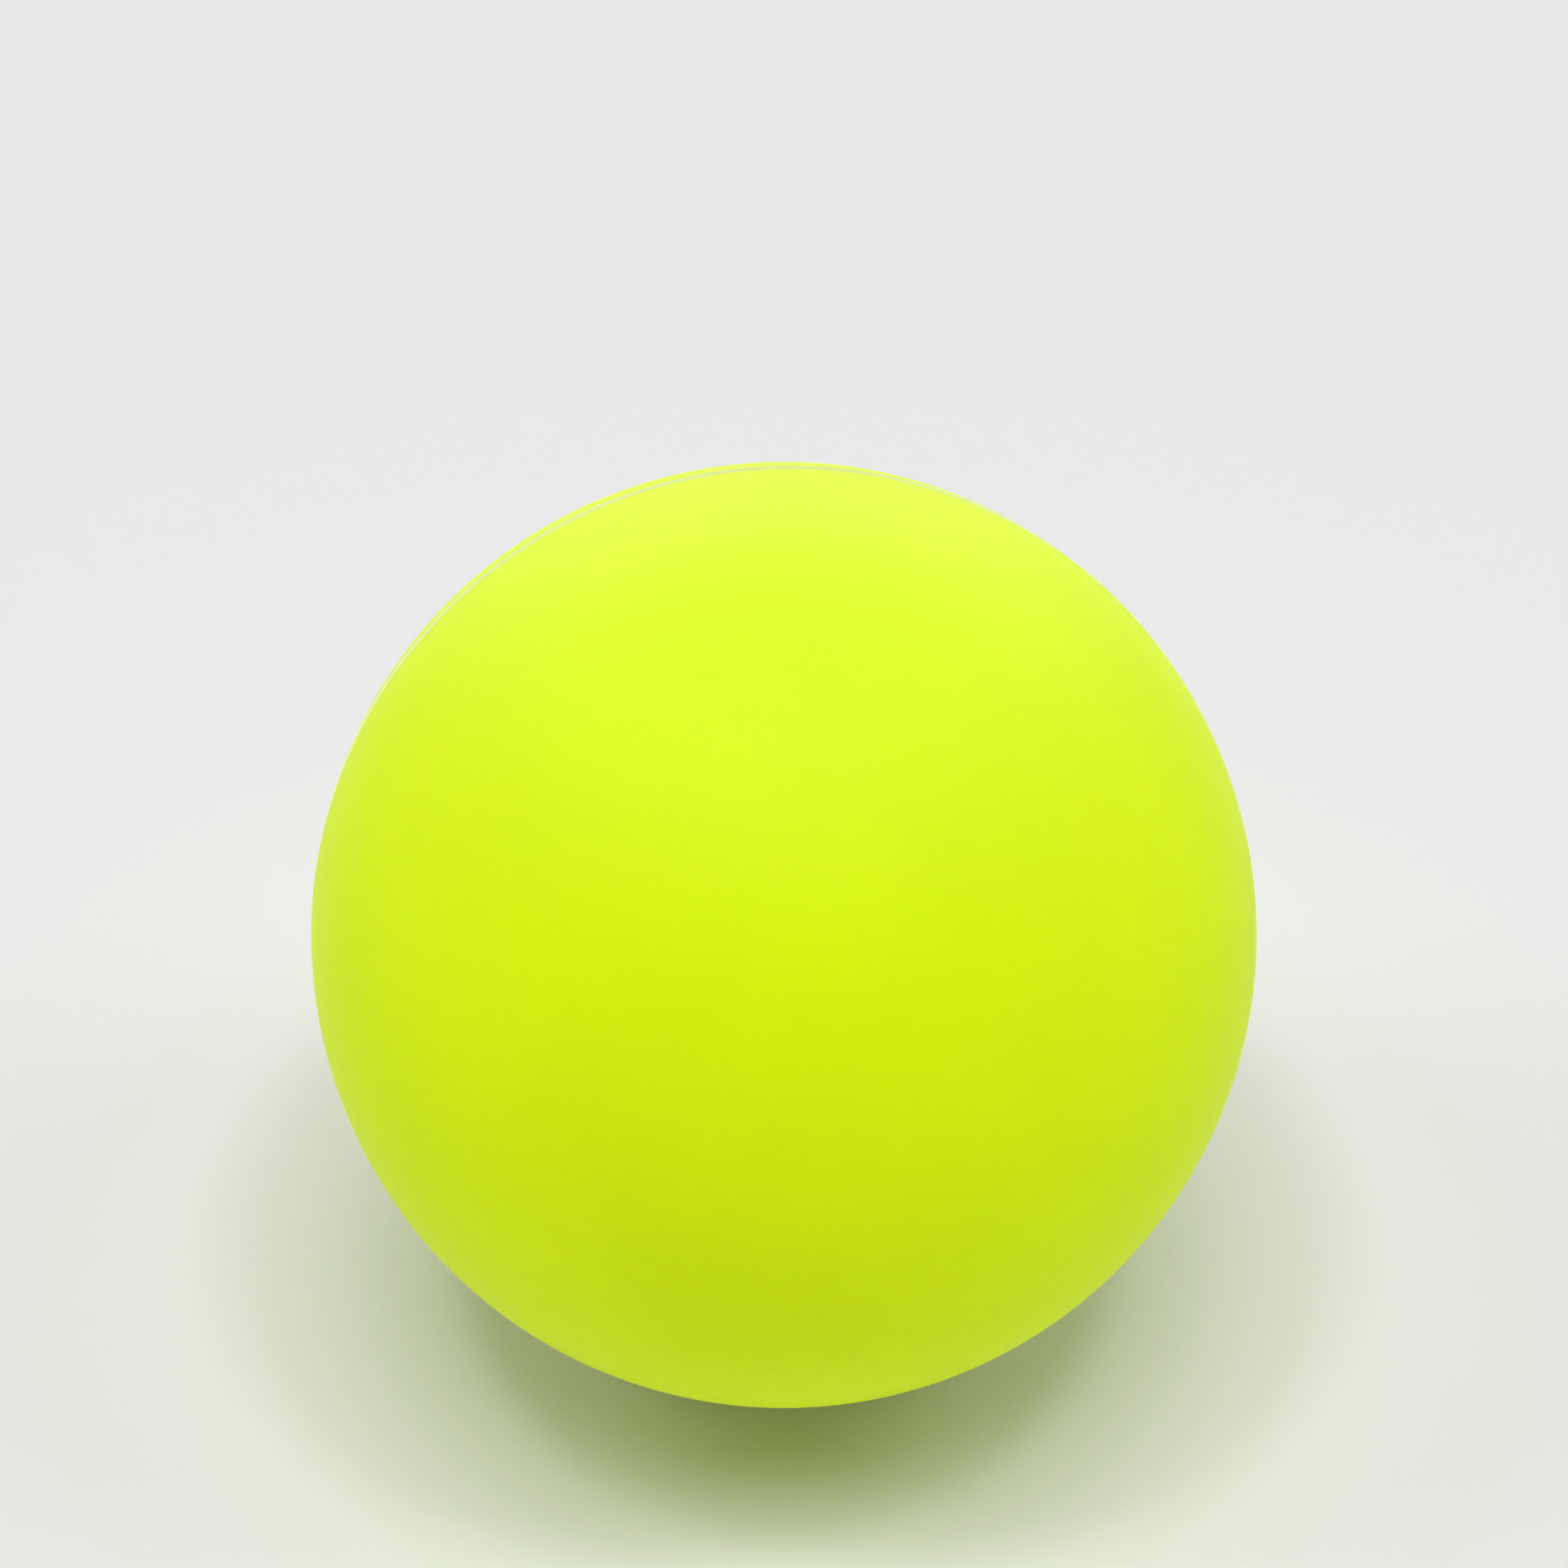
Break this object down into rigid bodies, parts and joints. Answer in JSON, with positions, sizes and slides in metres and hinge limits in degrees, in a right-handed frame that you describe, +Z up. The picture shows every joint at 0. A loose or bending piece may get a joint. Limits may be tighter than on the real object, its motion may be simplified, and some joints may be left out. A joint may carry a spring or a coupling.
{
  "type": "lacrosse ball",
  "caption": "Plain round lacrosse ball of matt chartreuse rubber: a solid filled core under a moulded cover whose halves meet on a skived joint.",
  "frame": {"origin": "centre of the ball", "axes": "+Z up, out of the top of the ball as it stands on its rest patch; -Y towards the viewer of the picture, +X to the viewer's right"},
  "size_m": [0.0636, 0.0636, 0.0635],
  "materials": {
    "cover_rubber": "matt moulded chartreuse",
    "core_rubber": "matt buffed grey"
  },
  "bodies": {
    "root": {"rubber_core": "core_rubber", "front_cover_half": "cover_rubber", "rear_cover_half": "cover_rubber"}
  },
  "joints": []
}
